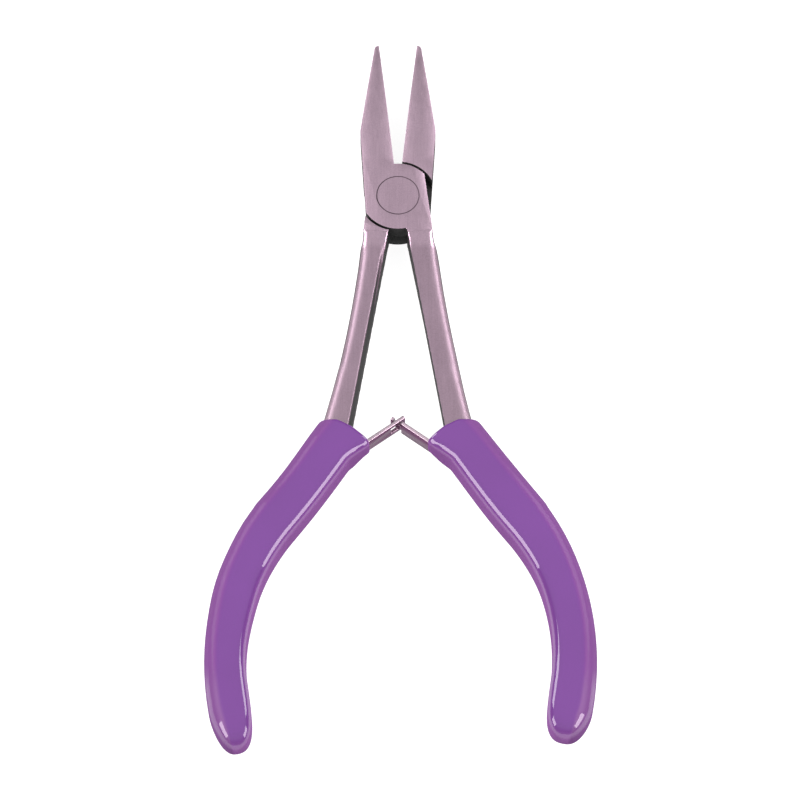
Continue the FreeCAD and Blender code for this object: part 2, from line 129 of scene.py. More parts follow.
# Ramps over how squarely a face looks out of the pliers' plane: 0 is a wall and 1 is flat.
# GROUND_FACE parts the ground faces from the walls, which take the near-black scale colour,
# deepened as painted shade.
GROUND_FACE = 0.25, 0.62
RING_FACE = 0.9, 0.99
# The next two pick out the bevelled edges, which get a painted highlight.
EDGE_HIGHLIGHT_FACE = 0.5, 0.75
EDGE_HIGHLIGHT_LIMIT = 0.93, 0.985
# The next one picks out the leaves' edges, paler as sheared steel and as a painted highlight.
LEAF_EDGE_HIGHLIGHT = 0.3, 0.8
# The next one picks out the grips' walls, which are painted lighter to offset their shade.
VINYL_WALL_LIGHTENING = 0.2, 0.95
COAT_FACE = 0.12, 0.5

# Ramps over how far a face leans to the pliers' outer side.
WORN_LEAN = 0.03, 0.22
# The next one picks out the outer sides, which are painted lighter to offset their shade.
OUTER_LIGHTENING_LEAN = 0.04, 0.26

# Ramps over a place, in metres: away from the middle plane, where the lap's recess floors get
# painted shade, away from the rivet's outline, and along the handles, where the tangs stop being
# ground and the tails stop being worn.
SHADED_RECESS_FLOOR = 0.3 * MM, 0.6 * MM
RING_LINE = 0.04 * MM, 0.13 * MM
FORGED_REACH = -10 * MM, -8.5 * MM
WORN_REACH = -89 * MM, -84 * MM

# The stage: the floor's tone, its glow to the camera and in reflections, its reach and its drop
# below the pliers, the heights between which the sky brightens, and the camera's aim.
FLOOR_TONE, FLOOR_SEEN, FLOOR_MIRRORED = 0.42, 0.88, 0.6
FLOOR_REACH, FLOOR_DROP = 1.5, 0.03 * MM
SKY_HEIGHTS = 0.35, 0.82
SENSOR, CLIP = 36, 0.01
CAMERA_AIM = Vector((0.35, -36.46, MID)) * MM
LAMP_AIM, LAMP_DISTANCE = Vector((0, -0.045, 0)), 0.7

# Each kind of lamp: its name, its direction on the right side, its width and height, the setting
# that holds its power, and its colour.
LAMPS = (
    ("strip_lamp", (0.76, -0.34, 0.55), 0.44, 0.42, "strip_power", (1.0, 0.9, 0.95)),
    ("far_lamp", (0.66, 0.53, 0.53), 0.36, 0.34, "far_power", (1.0, 0.97, 0.98)),
)


# ---------------------------------------------------------------- what a user may change


class PliersSizes(bpy.types.PropertyGroup):
    half_opening: FloatProperty(
        name="Half opening", description="How far each half is turned from closed",
        default=math.radians(6.2), subtype="ANGLE")
    edge_break: FloatProperty(
        name="Edge break", description="Width of the ground edges' small bevel",
        default=0.12 * MM, unit="LENGTH")
    leaf_edge: FloatProperty(
        name="Leaf edge", description="Width of the leaf springs' rounded edges",
        default=0.1 * MM, unit="LENGTH")
    leaf_lift: FloatProperty(
        name="Leaf lift", description="How far each leaf is turned flatter about the crossing",
        default=math.radians(4.5), subtype="ANGLE")
    grip_depth: FloatProperty(
        name="Grip depth", description="The grips' thickness from front to back",
        default=GRIP_HIGH.z - GRIP_LOW.z, unit="LENGTH")
    grip_round: FloatProperty(
        name="Grip rounding", description="Radius of the grips' outer edges",
        default=2.5 * MM, unit="LENGTH")
    grip_edge: FloatProperty(
        name="Grip edge", description="Radius of the grips' tighter inner edges",
        default=1.8 * MM, unit="LENGTH")
    skin: FloatProperty(
        name="Skin detail", description="Cell size of the dipped skin",
        default=0.17 * MM, unit="LENGTH")


class PliersFinish(bpy.types.PropertyGroup):
    steel: FloatVectorProperty(
        name="Steel", description="Colour of the ground steel",
        default=(0.445, 0.326, 0.402), subtype="COLOR", min=0, max=1)
    # The scale colour is the walls' forging scale, kept near-black as painted shade, and it is
    # painted shade alone on the lap's recess floors.
    scale: FloatVectorProperty(
        name="Forging scale", description="Colour of the walls that were never ground",
        default=(0.021, 0.022, 0.021), subtype="COLOR", min=0, max=1)
    leaf: FloatVectorProperty(
        name="Leaf", description="Colour of the leaf springs",
        default=(0.145, 0.035, 0.12), subtype="COLOR", min=0, max=1)
    # The leaf edge colour is sheared steel made paler as a painted highlight.
    leaf_edge: FloatVectorProperty(
        name="Leaf edges", description="Colour of the leaf springs' sheared edges",
        default=(0.7, 0.55, 0.64), subtype="COLOR", min=0, max=1)
    vinyl: FloatVectorProperty(
        name="Vinyl", description="Colour of the dipped grips",
        default=(0.127, 0.032, 0.205), subtype="COLOR", min=0, max=1)
    # Painted light: this colour makes the grips' walls lighter to offset their shade.
    vinyl_wall_lightened: FloatVectorProperty(
        name="Vinyl, thick", description="Colour of the grips where the skin is thick",
        default=(0.235, 0.09, 0.295), subtype="COLOR", min=0, max=1)
    # Painted light: this colour makes the grips' outer sides lighter to offset their shade.
    vinyl_outer_lightened: FloatVectorProperty(
        name="Vinyl, outer side", description="Colour of the outer sides, where the hand rubs",
        default=(0.178, 0.067, 0.227), subtype="COLOR", min=0, max=1)


class PliersStudio(bpy.types.PropertyGroup):
    distance: FloatProperty(
        name="Camera distance", description="From the camera to the middle of the pliers",
        default=0.7, unit="LENGTH")
    tilt: FloatProperty(
        name="Camera tilt", description="How far the camera leans from straight above",
        default=math.radians(24.6), subtype="ANGLE")
    field: FloatProperty(
        name="Field", description="Width of what the camera sees",
        default=0.132, unit="LENGTH")
    sky: FloatProperty(name="Sky", description="Brightness overhead", default=0.81, min=0)
    horizon: FloatProperty(
        name="Horizon", description="Brightness near the floor", default=0.22, min=0)
    strip_power: FloatProperty(
        name="Strip lamps", description="Power of the two near lamps",
        default=3.7, min=0, unit="POWER")
    far_power: FloatProperty(
        name="Far lamps", description="Power of the two lamps beyond the jaws",
        default=2.2, min=0, unit="POWER")


def settings(context):
    """The three groups of settings: sizes, finish and studio."""
    scene = context.scene
    return scene.pliers_sizes, scene.pliers_finish, scene.pliers_studio


# ---------------------------------------------------------------- shaders


class Wire:
    """A socket of a shader tree, with Python's arithmetic."""

    def __init__(self, tree, socket):
        self.tree = tree
        self.socket = socket

    def __add__(self, other):
        return self.tree.maths("ADD", self, other)

    def __sub__(self, other):
        return self.tree.maths("SUBTRACT", self, other)

    def __rsub__(self, other):
        return self.tree.maths("SUBTRACT", other, self)

    def __mul__(self, other):
        return self.tree.maths("MULTIPLY", self, other)

    def __abs__(self):
        return self.tree.maths("ABSOLUTE", self)

    __radd__ = __add__
    __rmul__ = __mul__

    def swing(self, amount):
        """A pattern's swing of up to half the amount either way."""
        return (self - 0.5) * amount


class Tree:
    """A node tree that is built by naming nodes."""

    def __init__(self, owner):
        owner.use_nodes = True
        self.tree = owner.node_tree
        self.tree.nodes.clear()

    def node(self, kind, choices=None, inputs=None, output=0):
        """Adds a node with its settings and its sockets' values or links."""
        made = self.tree.nodes.new(kind)
        for name, value in (choices or {}).items():
            setattr(made, name, value)
        for name, value in (inputs or {}).items():
            if isinstance(value, Wire):
                self.tree.links.new(value.socket, made.inputs[name])
            else:
                made.inputs[name].default_value = value
        return Wire(self, made.outputs[output]) if len(made.outputs) else None

    def maths(self, operation, *values):
        return self.node("ShaderNodeMath", {"operation": operation}, dict(enumerate(values)))

    def coordinates(self, kind="Object"):
        return self.node("ShaderNodeTexCoord", output=kind)

    def part(self, vector, axis):
        return self.node("ShaderNodeSeparateXYZ", inputs={0: vector}, output=axis)

    def facing(self):
        """How squarely a face looks out of the pliers' plane, to either side."""
        return abs(self.part(self.coordinates("Normal"), 2))

    def noise(self, vector, scale, detail=2.0, roughness=0.5):
        inputs = {"Vector": vector, "Scale": scale, "Detail": detail, "Roughness": roughness}
        return self.node("ShaderNodeTexNoise", inputs=inputs)

    def grain(self, vector, scale, roughness, turn=0.0):
        """Fine streaks along one direction."""
        along = self.node("ShaderNodeMapping", inputs={
            "Vector": vector, "Rotation": (0, 0, turn), "Scale": scale})
        return self.noise(along, 1.0, 3.0, roughness)

    def ramp(self, value, low, high, to_low=0.0, to_high=1.0):
        """A number eased from one value to another between two limits."""
        inputs = {
            "Value": value, "From Min": low, "From Max": high, "To Min": to_low, "To Max": to_high}
        return self.node("ShaderNodeMapRange", {"interpolation_type": "SMOOTHSTEP"}, inputs)

    def blend(self, factor, first, second):
        """Two colours mixed."""
        inputs = {0: factor, 6: first, 7: second}
        return self.node("ShaderNodeMix", {"data_type": "RGBA"}, inputs, output=2)

    def shade(self, colour, factor):
        """A colour made lighter or darker by a number."""
        grey = self.node("ShaderNodeCombineColor", inputs={0: factor, 1: factor, 2: factor})
        choices = {"data_type": "RGBA", "blend_type": "MULTIPLY"}
        return self.node("ShaderNodeMix", choices, {0: 1.0, 6: colour, 7: grey}, output=2)

    def bump(self, height, strength, distance):
        inputs = {"Strength": strength, "Distance": distance, "Height": height}
        return self.node("ShaderNodeBump", inputs=inputs)

    def principled(self, inputs):
        shader = self.node("ShaderNodeBsdfPrincipled", inputs=inputs)
        self.node("ShaderNodeOutputMaterial", inputs={"Surface": shader})


def rgba(colour):
    return (*colour, 1.0)


def ground_steel(name, colour, scale_and_shade_colour, turn, ring_radius):
    """Ground satin steel with a lengthwise grain and the rivet's fine outline. The walls have
    near-black forging scale deepened as painted shade, the recess floors painted shade, and the
    bevelled edges a painted highlight.
    """
    material = bpy.data.materials.new(name)
    tree = Tree(material)
    place = tree.coordinates()
    grain = tree.grain(place, STEEL_GRAIN, 0.62, turn)
    cloud = tree.noise(place, STEEL_CLOUD)
    pits = tree.noise(place, STEEL_PITS, 3.0, 0.7)
    up = tree.facing()
    level = abs(tree.part(place, 2) - MID * MM)
    # The walls and the lap's recess floors at the middle plane take the scale colour: forging
    # scale deepened as painted shade on the walls, painted shade alone on the recess floors.
    ground = tree.ramp(up, *GROUND_FACE) * tree.ramp(level, *SHADED_RECESS_FLOOR)
    flat = tree.node("ShaderNodeVectorMath", {"operation": "MULTIPLY"}, {0: place, 1: (1, 1, 0)})
    reach = tree.node("ShaderNodeVectorMath", {"operation": "LENGTH"}, {0: flat}, output=1)
    wander = tree.noise(place, RING_WAVES, 1.0).swing(RING_WANDER)
    off_ring = abs(reach + wander - ring_radius)
    ring = tree.ramp(off_ring, *RING_LINE, 1, 0) * tree.ramp(up, *RING_FACE)
    forged = tree.ramp(tree.part(place, 1), *FORGED_REACH, 1, 0)
    # A painted highlight: the bevelled edges of the ground faces are made lighter, except on the
    # forged tangs.
    crisp = tree.ramp(up, *EDGE_HIGHLIGHT_FACE) * tree.ramp(up, *EDGE_HIGHLIGHT_LIMIT, 1, 0)
    light = 0.95 + grain.swing(0.24) + cloud.swing(0.16) + pits.swing(0.5)
    light = (light + crisp * (1 - forged) * 1.3) * (1 - forged * 0.24)
    light = light * (1 - ring * (0.35 + cloud * 0.9))
    bright = tree.shade(rgba(colour), light)
    # The scale colour with its pits: forging scale and painted shade on the walls, painted shade
    # on the recess floors.
    dark = tree.shade(rgba(scale_and_shade_colour), 0.6 + pits * 0.9)
    tree.principled({
        "Base Color": tree.blend(ground, dark, bright),
        "Metallic": ground * 0.8 + 0.2,
        "Roughness": ground * (grain * 0.14 + forged * 0.07 - 0.43) + 0.75,
        "Normal": tree.bump(grain * ground + pits * (1 - ground), 0.25, 0.02 * MM),
    })
    return material


def leaf_steel(name, colour, edge_and_highlight_colour):
    """Bright cold rolled strip, with paler sheared edges that also carry a painted highlight."""
    material = bpy.data.materials.new(name)
    tree = Tree(material)
    place = tree.coordinates()
    streaks = tree.grain(place, LEAF_GRAIN, 0.6)
    cloud = tree.noise(place, LEAF_CLOUD)
    # The edges are paler as sheared steel and as a painted highlight.
    tone = tree.blend(tree.ramp(tree.facing(), *LEAF_EDGE_HIGHLIGHT), rgba(colour), rgba(edge_and_highlight_colour))
    tree.principled({
        "Base Color": tree.shade(tone, 0.9 + streaks.swing(0.5) + cloud.swing(0.3)),
        "Metallic": 1.0,
        "Roughness": streaks * 0.16 + 0.2,
        "Normal": tree.bump(streaks, 0.2, 0.015 * MM),
    })
    return material


def dipped_vinyl(name, colour, wall_lightened, outer_lightened):
    """Glossy dipped vinyl with a faint cloudiness, worn matt on its outer sides, with its walls
    and outer sides painted lighter to offset their shade.
    """
    material = bpy.data.materials.new(name)
    tree = Tree(material)
    place = tree.coordinates()
    cloud = tree.noise(place, VINYL_CLOUD)
    speck = tree.noise(place, VINYL_SPECK, 2.0, 0.6)
    swell = tree.noise(place, VINYL_SWELL, 1.0)
    up = tree.facing()
    hand = tree.maths("SIGN", tree.part(place, 0))
    out = tree.part(tree.coordinates("Normal"), 0) * hand
    worn = tree.ramp(out, *WORN_LEAN) * tree.ramp(tree.part(place, 1), *WORN_REACH)
    # Painted light: the walls take a lighter colour to offset their shade.
    tone = tree.blend(tree.ramp(up, *VINYL_WALL_LIGHTENING), rgba(wall_lightened), rgba(colour))
    # Painted light: the outer sides take a lighter colour to offset their shade.
    tone = tree.blend(tree.ramp(out, *OUTER_LIGHTENING_LEAN), tone, rgba(outer_lightened))
    tree.principled({
        "Base Color": tree.shade(tone, 0.97 + cloud.swing(0.14) + speck.swing(0.05)),
        "Roughness": speck * 0.06 + 0.14,
        "Specular IOR Level": 0.0,
        "Coat Weight": tree.ramp(up, *COAT_FACE, 0.05, 1.0) * (1 - worn * 0.9),
        "Coat Roughness": 0.03,
        "Coat IOR": 1.65,
        "Normal": tree.bump(swell * 0.7 + speck * 0.05, 0.18, 0.12 * MM),
    })
    return material


# ---------------------------------------------------------------- shapes


def smooth(part):
    """Eases a share from 0 to 1."""
    part = min(max(part, 0), 1)
    return part * part * (3 - 2 * part)


def rise(value, middle, half_width):
    """A smooth rise from 0 to 1 and back, either side of the middle."""
    return smooth(1 - abs(value - middle) / half_width)


def half_place(front, opening):
    """From the closed drawing in millimetres to a half's place in the open pliers."""
    if front:
        return Matrix.Rotation(opening, 4, "Z") @ Matrix.Scale(MM, 4)
    over = Matrix.Translation((0, 0, JOINT_DEPTH)) @ Matrix.Rotation(math.pi, 4, "Y")
    return Matrix.Rotation(-opening, 4, "Z") @ Matrix.Scale(MM, 4) @ over


def finished(bm, name, material, smooth_angle=math.radians(32)):
    """A finished piece from a bmesh that is already in place."""
    bmesh.ops.recalc_face_normals(bm, faces=bm.faces)
    mesh = bpy.data.meshes.new(name)
    bm.to_mesh(mesh)
    bm.free()
    for polygon in mesh.polygons:
        polygon.use_smooth = True
    mesh.set_sharp_from_angle(angle=smooth_angle)
    mesh.materials.append(material)
    piece = bpy.data.objects.new(name, mesh)
    bpy.context.scene.collection.objects.link(piece)
    return piece


def merged(node):
    """A merged copy of a CAD node's mesh."""
    bm = bmesh.new()
    bm.from_mesh(frame["nodes"][node].data)
    bmesh.ops.remove_doubles(bm, verts=bm.verts, dist=0.0005 * MM)
    return bm


def machined(node, edge_break, sharp=math.radians(35)):
    """A merged copy of a CAD node's mesh with its sharp edges broken."""
    bm = merged(node)
    bmesh.ops.dissolve_limit(
        bm, angle_limit=math.radians(0.5), verts=bm.verts, edges=bm.edges)
    edges = [edge for edge in bm.edges if edge.is_manifold and edge.calc_face_angle() > sharp]
    bmesh.ops.bevel(
        bm, geom=edges, offset=edge_break, offset_type="OFFSET", affect="EDGES", segments=2,
        profile=0.5, material=-1, clamp_overlap=True)
    return bm


def shift(bm, matrix):
    bmesh.ops.transform(bm, matrix=matrix, verts=bm.verts)


def soften(bm, verts, passes):
    for _ in range(passes):
        bmesh.ops.smooth_vert(
            bm, verts=verts, factor=0.5, use_axis_x=True, use_axis_y=True, use_axis_z=True)


def trim(bm, point, outwards):
    """Cuts off what lies beyond a plane, and closes the cut."""
    geometry = bm.verts[:] + bm.edges[:] + bm.faces[:]
    cut = bmesh.ops.bisect_plane(
        bm, geom=geometry, plane_co=point, plane_no=outwards, clear_outer=True)
    edges = [item for item in cut["geom_cut"] if isinstance(item, bmesh.types.BMEdge)]
    bmesh.ops.edgeloop_fill(bm, edges=edges)


def soft_skin(bm, cell, passes):
    """One even skin over overlapping closed shapes, with every edge softened."""
    bmesh.ops.recalc_face_normals(bm, faces=bm.faces)
    mesh = bpy.data.meshes.new("skin")
    bm.to_mesh(mesh)
    bm.free()
    block = bpy.data.objects.new("skin", mesh)
    bpy.context.scene.collection.objects.link(block)
    modifier = block.modifiers.new("skin", "REMESH")
    modifier.mode = "VOXEL"
    modifier.voxel_size = cell
    graph = bpy.context.evaluated_depsgraph_get()
    skin = bmesh.new()
    skin.from_mesh(block.evaluated_get(graph).to_mesh())
    bpy.data.objects.remove(block)
    bpy.data.meshes.remove(mesh)
    soften(skin, skin.verts, passes)
    return skin


def edge_at(far, y):
    """The outer edge's reach at any height, from its reach in rows a millimetre apart."""
    row = math.floor(y - 0.5)
    share = y - 0.5 - row
    return far.get(row, 0) * (1 - share) + far.get(row + 1, far.get(row, 0)) * share


def forged_tang(node, turn):
    """A half's tang with a worn outer side, a level face, and its outline moved a little."""
    bm = merged(node)
    shift(bm, turn.inverted())
    trim(bm, (0, TANG_TOP + TANG_SPARE_TOP, 0), (0, 1, 0))
    trim(bm, (0, TANG_FOOT - TANG_SPARE_FOOT, 0), (0, -1, 0))
    skin = soft_skin(bm, TANG_CELL, TANG_PASSES)
    for vert in skin.verts:
        place = vert.co
        reach = smooth((HOLLOW_TOP - place.y) / HOLLOW_TOP_FADE)
        reach *= smooth((place.y - HOLLOW_FOOT) / HOLLOW_FOOT_FADE)
        place.x -= HOLLOW[node] * reach * smooth((place.x - HOLLOW_SIDE) / HOLLOW_SIDE_FADE)
    far = {}
    for vert in skin.verts:
        row = math.floor(vert.co.y)
        far[row] = max(far.get(row, 0), vert.co.x)
    for vert in skin.verts:
        place = vert.co
        height = place.z - MID
        if FACE_LOW < height < FACE_HEIGHT:
            amount = smooth((FACE_TOP - place.y) / FACE_TOP_FADE)
            amount *= smooth((edge_at(far, place.y) - FACE_IN - place.x) / FACE_IN_FADE)
            amount *= smooth((height - FACE_LOW) / FACE_LOW_FADE)
            place.z += (FACE_HEIGHT - height) * amount
    outer = [
        vert for vert in skin.verts
        if TANG_FOOT < vert.co.y < TANG_TOP - TANG_FADE
        and vert.co.x > far[math.floor(vert.co.y)] - WORN_WIDTH]
    soften(skin, outer, WORN_PASSES)
    skin.normal_update()
    for vert in skin.verts:
        vert.co -= vert.normal * TANG_INSET * smooth((vert.co.y - TANG_TOP) / TANG_FADE)
    shift(skin, turn)
    return skin


def forged_half(node, turn, edge_break):
    """A half's jaw and joint with crisp ground edges, and its tang with soft ones."""
    whole = forged_tang(node, turn)
    for edge, outwards in ((TANG_TOP, -1), (TANG_FOOT, 1)):
        bm = machined(node, edge_break)
        shift(bm, turn.inverted())
        trim(bm, (0, edge, 0), (0, outwards, 0))
        shift(bm, turn)
        mesh = bpy.data.meshes.new("part")
        bm.to_mesh(mesh)
        bm.free()
        whole.from_mesh(mesh)
        bpy.data.meshes.remove(mesh)
    return whole


# The planes that shape the grip's top on the tang and its mouth round the leaf: a point on each,
# and the way that is cut off.
MOUTH_TRIMS = (
    ((6.7, -42.15, 0), (0.0, 1, 0)),
    ((9.3, -42.3, 0), (0.6, 0.8, 0)),
    ((4.1, -42.6, 0), (-0.366, 0.931, 0)),
    ((1.2, -44.25, 0), (-0.573, 0.819, 0)),
    ((-0.35, -45.6, 0), (-0.82, 0.57, 0)),
)


class Handle:
    """The grip's two long sides in the closed drawing, from the mouth to the tail."""

    # the core inside: its bend, its straight part's lean, and its width there and at the tail
    BEND = Vector((3.33, -46.6))
    SPLAY = math.radians(29.5)
    STRAIGHT = 17.0
    CORE, CORE_LOW = 5.2, 4.35
    # the curved part: its radius, and where each side's curve ends
    BOW = 37.4
    INNER_TURN, OUTER_TURN = math.radians(-12), math.radians(-17)
    # the skin over it, which starts above the bend and is wider at the mouth
    WALL = 1.4
    TOP = 6.0
    FLARE, FLARE_START, FLARE_LENGTH = 1.35, 1.6, 4.0
    # the tail: its lean and length, where its last section stands, each side's share of the
    # width, and how late each side and the depth curl in
    TAIL_TURN = math.radians(-14.5)
    TAIL_LENGTH = {"right": 10.9, "left": 12.2}
    TAIL_END = 0.9985
    INNER_SHARE, OUTER_SHARE = 0.48, 0.52
    INNER_LATE, OUTER_LATE, DEPTH_LATE = 5, 1.6, 6
    # how many sections each part has
    STRAIGHT_STEPS, CURVE_STEPS, TAIL_STEPS = 12, 18, 20
    # how far outwards each grip sits, how much further below the mouth, and where that comes in
    OUTWARDS = {"right": (0.45, 0.45), "left": (0, 0)}
    OUTWARDS_FROM, OUTWARDS_OVER = -46, 20
    # where the dip is thicker or thinner than its wall, on the inner and on the outer side: how
    # much, at what height, and how far to either side
    UNEVEN = {
        "right": (((0.6, -59.5, 14),), ()),
        "left": (((0.5, -57, 17), (-0.65, -88, 13)), ((0.15, -72, 8), (-0.45, -52.5, 11))),
    }

    def __init__(self, hand):
        self.hand = hand
        self.side = Vector((math.cos(self.SPLAY), math.sin(self.SPLAY)))
        self.down = Vector((math.sin(self.SPLAY), -math.cos(self.SPLAY)))
        end = self.BEND + self.down * self.STRAIGHT
        self.centre = end - self.side * self.BOW
        slide = (self.CORE_LOW - self.CORE) / (1 - math.cos(self.SPLAY))
        self.outer_centre = self.centre + Vector((slide, 0))
        self.outer_bow = self.BOW + self.CORE_LOW - slide

    def moved(self, point):
        """A point of this grip, which may sit further out than the drawing."""
        all_over, below = self.OUTWARDS[self.hand]
        further = below * smooth((self.OUTWARDS_FROM - point.y) / self.OUTWARDS_OVER)
        return Vector((point.x + (all_over + further), point.y))

    def uneven(self, y, outer):
        """How much thicker the skin is than its wall."""
        places = self.UNEVEN[self.hand][outer]
        return sum(amount * rise(y, middle, half) for amount, middle, half in places)

    def stations(self):
        """Pairs of points across the grip, from above the mouth to the tail."""
        pairs = []
        for step in range(self.STRAIGHT_STEPS + 1):
            run = -self.TOP + (self.STRAIGHT + self.TOP) * step / self.STRAIGHT_STEPS
            wall = self.WALL + self.FLARE * smooth((self.FLARE_START - run) / self.FLARE_LENGTH)
            along = self.BEND + self.down * run
            pairs.append((along - self.side * wall, along + self.side * (self.CORE + self.WALL)))
        inner_radius, outer_radius = self.BOW - self.WALL, self.outer_bow + self.WALL
        for step in range(1, self.CURVE_STEPS + 1):
            part = step / self.CURVE_STEPS
            inner, outer = (
                self.SPLAY + (last - self.SPLAY) * part
                for last in (self.INNER_TURN, self.OUTER_TURN))
            pairs.append((
                self.centre + inner_radius * Vector((math.cos(inner), math.sin(inner))),
                self.outer_centre + outer_radius * Vector((math.cos(outer), math.sin(outer))),
            ))
        skinned = []
        for first, last in pairs:
            side = (last - first).normalized()
            skinned.append((
                self.moved(first) - side * self.uneven(first.y, False),
                self.moved(last) + side * self.uneven(last.y, True),
            ))
        return skinned

    def tail(self):
        """The tail's sections as (inner, outer, shrink of the depth), tapering to a round end."""
        inner, outer = self.stations()[-1]
        length = self.TAIL_LENGTH[self.hand]
        lean = Vector((math.sin(self.TAIL_TURN), -math.cos(self.TAIL_TURN)))
        lag = (outer - inner).dot(lean)
        across = outer - inner - lean * lag
        sections = []
        for step in range(1, self.TAIL_STEPS + 1):
            part = math.sin(math.pi / 2 * step / self.TAIL_STEPS)
            if step == self.TAIL_STEPS:
                part = self.TAIL_END
            first = inner + lean * length * part
            last = inner + across + lean * (lag + (length - lag) * part)
            first += across * self.INNER_SHARE * (1 - math.sqrt(1 - part ** self.INNER_LATE))
            last -= across * self.OUTER_SHARE * (1 - math.sqrt(1 - part ** self.OUTER_LATE))
            sections.append((first, last, math.sqrt(1 - part ** self.DEPTH_LATE)))
        return sections


def section_place(inner, outer, depth, shrink=1.0):
    """Where a unit section stands across a pair of points, its depth shrunk for a round end."""
    across = outer - inner
    down = Vector((across.y, -across.x)).normalized()
    middle = (inner + outer) / 2
    place = Matrix.Identity(4)
    place.col[0] = (across.x, across.y, 0, 0)
    place.col[1] = (0, 0, depth * shrink, 0)
    place.col[2] = (down.x, down.y, 0, 0)
    place.col[3] = (middle.x, middle.y, MID, 1)
    return place


def skinned_tube(bm, places, width, depth, inner_corner, outer_corner):
    """A closed tube through sections, each a rectangle with its own rounding on either side."""
    made = bmesh.ops.create_grid(bm, x_segments=1, y_segments=1, size=0.5)
    stretch = Matrix.Diagonal((width, depth, 1, 1))
    bmesh.ops.transform(bm, matrix=stretch, verts=made["verts"])
    inner = [vert for vert in made["verts"] if vert.co.x < 0]
    outer = [vert for vert in made["verts"] if vert.co.x > 0]
    for corners, corner in ((inner, inner_corner), (outer, outer_corner)):
        bmesh.ops.bevel(
            bm, geom=corners, offset=corner, offset_type="OFFSET", affect="VERTICES",
            segments=6, profile=0.5, material=-1)
    bm.faces.ensure_lookup_table()
    face = bm.faces[0]
    ring = list(face.verts)
    edges = list(face.edges)
    bmesh.ops.transform(bm, matrix=places[0] @ stretch.inverted(), verts=ring)
    before = places[0]
    for place in places[1:]:
        made = bmesh.ops.extrude_edge_only(bm, edges=edges)
        edges = [item for item in made["geom"] if isinstance(item, bmesh.types.BMEdge)]
        ring = [item for item in made["geom"] if isinstance(item, bmesh.types.BMVert)]
        bmesh.ops.transform(bm, matrix=place @ before.inverted(), verts=ring)
        before = place
    bmesh.ops.edgeloop_fill(bm, edges=edges)


# ---------------------------------------------------------------- the pieces


class PLIERS_OT_forged_halves(bpy.types.Operator):
    """Adds the two forged halves with broken edges and ground faces"""

    bl_idname = "pliers.forged_halves"
    bl_label = "Forged halves"

    def execute(self, context):
        sizes, finish, _ = settings(context)
        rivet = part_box("pivot_rivet")[1].x
        for node, body, turn in (("front_half", "front", -1), ("back_half", "back", 1)):
            steel = ground_steel(
                node + "_steel", finish.steel, finish.scale, turn * sizes.half_opening, rivet)
            place = half_place(body == "front", sizes.half_opening)
            half = forged_half(node, place, sizes.edge_break)
            piece = finished(half, node + "_forging", steel)
            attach(piece, body)
            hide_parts(node)
        return {"FINISHED"}


class PLIERS_OT_rivets(bpy.types.Operator):
    """Finishes the flush pivot rivet and the two small rivets inside the grips"""

    bl_idname = "pliers.rivets"
    bl_label = "Rivets"

    def execute(self, context):
        sizes, finish, _ = settings(context)
        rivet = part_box("pivot_rivet")[1].x
        steel = ground_steel("rivet_steel", finish.steel, finish.scale, -sizes.half_opening, rivet)
        for node in ("pivot_rivet", "right_spring_rivet", "left_spring_rivet"):
            mesh = frame["nodes"][node].data
            mesh.materials.clear()
            mesh.materials.append(steel)
        return {"FINISHED"}


class PLIERS_OT_leaf_springs(bpy.types.Operator):
    """Adds the two hooked leaf springs, which bend where they leave the tangs"""

    bl_idname = "pliers.leaf_springs"
    bl_label = "Leaf springs"

    def execute(self, context):
        sizes, finish, _ = settings(context)
        steel = leaf_steel("leaf_steel", finish.leaf, finish.leaf_edge)
        crossing = Vector((0, CROSSING, 0))
        hinge = {joint["child"]: Vector(joint["pos_m"]) for joint in frame["joints"]}
        for hand, body, side in (("right", "front", 1), ("left", "back", -1)):
            node = hand + "_leaf_spring"
            bm = machined(node, sizes.leaf_edge)
            lift = Matrix.Rotation(side * sizes.leaf_lift, 3, "Z")
            bmesh.ops.rotate(bm, cent=crossing, matrix=lift, verts=bm.verts)
            root = hinge[hand + "_leaf"]
            lean = math.atan2(root.x * side, CROSSING - root.y)
            blade = Vector((-side * math.sin(lean), math.cos(lean), 0))
            if hand == "right":
                for vert in bm.verts:
                    short = (crossing - vert.co).dot(blade)
                    if SHOULDER_FROM * MM < short < SHOULDER_TO * MM:
                        vert.co += blade * SHOULDER_MOVE * MM
            piece = finished(bm, hand + "_leaf", steel)
            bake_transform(piece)
            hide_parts(node)
        return {"FINISHED"}


class PLIERS_OT_dipped_grips(bpy.types.Operator):
    """Adds the two dipped grips, with their undersides lifted a little near the mouth"""

    bl_idname = "pliers.dipped_grips"
    bl_label = "Dipped grips"

    def execute(self, context):
        sizes, finish, _ = settings(context)
        vinyl = dipped_vinyl(
            "dipped_vinyl", finish.vinyl, finish.vinyl_wall_lightened, finish.vinyl_outer_lightened)
        depth = sizes.grip_depth / MM
        for hand, front, body in (("right", True, "front"), ("left", False, "back")):
            handle = Handle(hand)
            places = [section_place(*pair, depth) for pair in handle.stations()]
            places += [
                section_place(first, last, depth, shrink) for first, last, shrink in handle.tail()]
            bm = bmesh.new()
            skinned_tube(
                bm, places, GRIP_WIDTH, depth, sizes.grip_edge / MM, sizes.grip_round / MM)
            bmesh.ops.holes_fill(bm, edges=bm.edges[:], sides=0)
            for point, outwards in MOUTH_TRIMS:
                trim(bm, point, outwards)
            skin = soft_skin(bm, sizes.skin / MM, DIP_PASSES)
            shown = MID + depth / 2 if front else MID - depth / 2
            for vert in skin.verts:
                near = smooth((MOUTH_WIDTH - vert.co.x) / MOUTH_WIDTH)
                vert.co.z += (shown - vert.co.z) * MOUTH_LIFT * near
            turn = half_place(front, sizes.half_opening)
            shift(skin, turn)
            piece = finished(skin, hand + "_dipped_grip", vinyl, math.radians(80))
            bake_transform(piece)
            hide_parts(hand + "_grip")
        return {"FINISHED"}


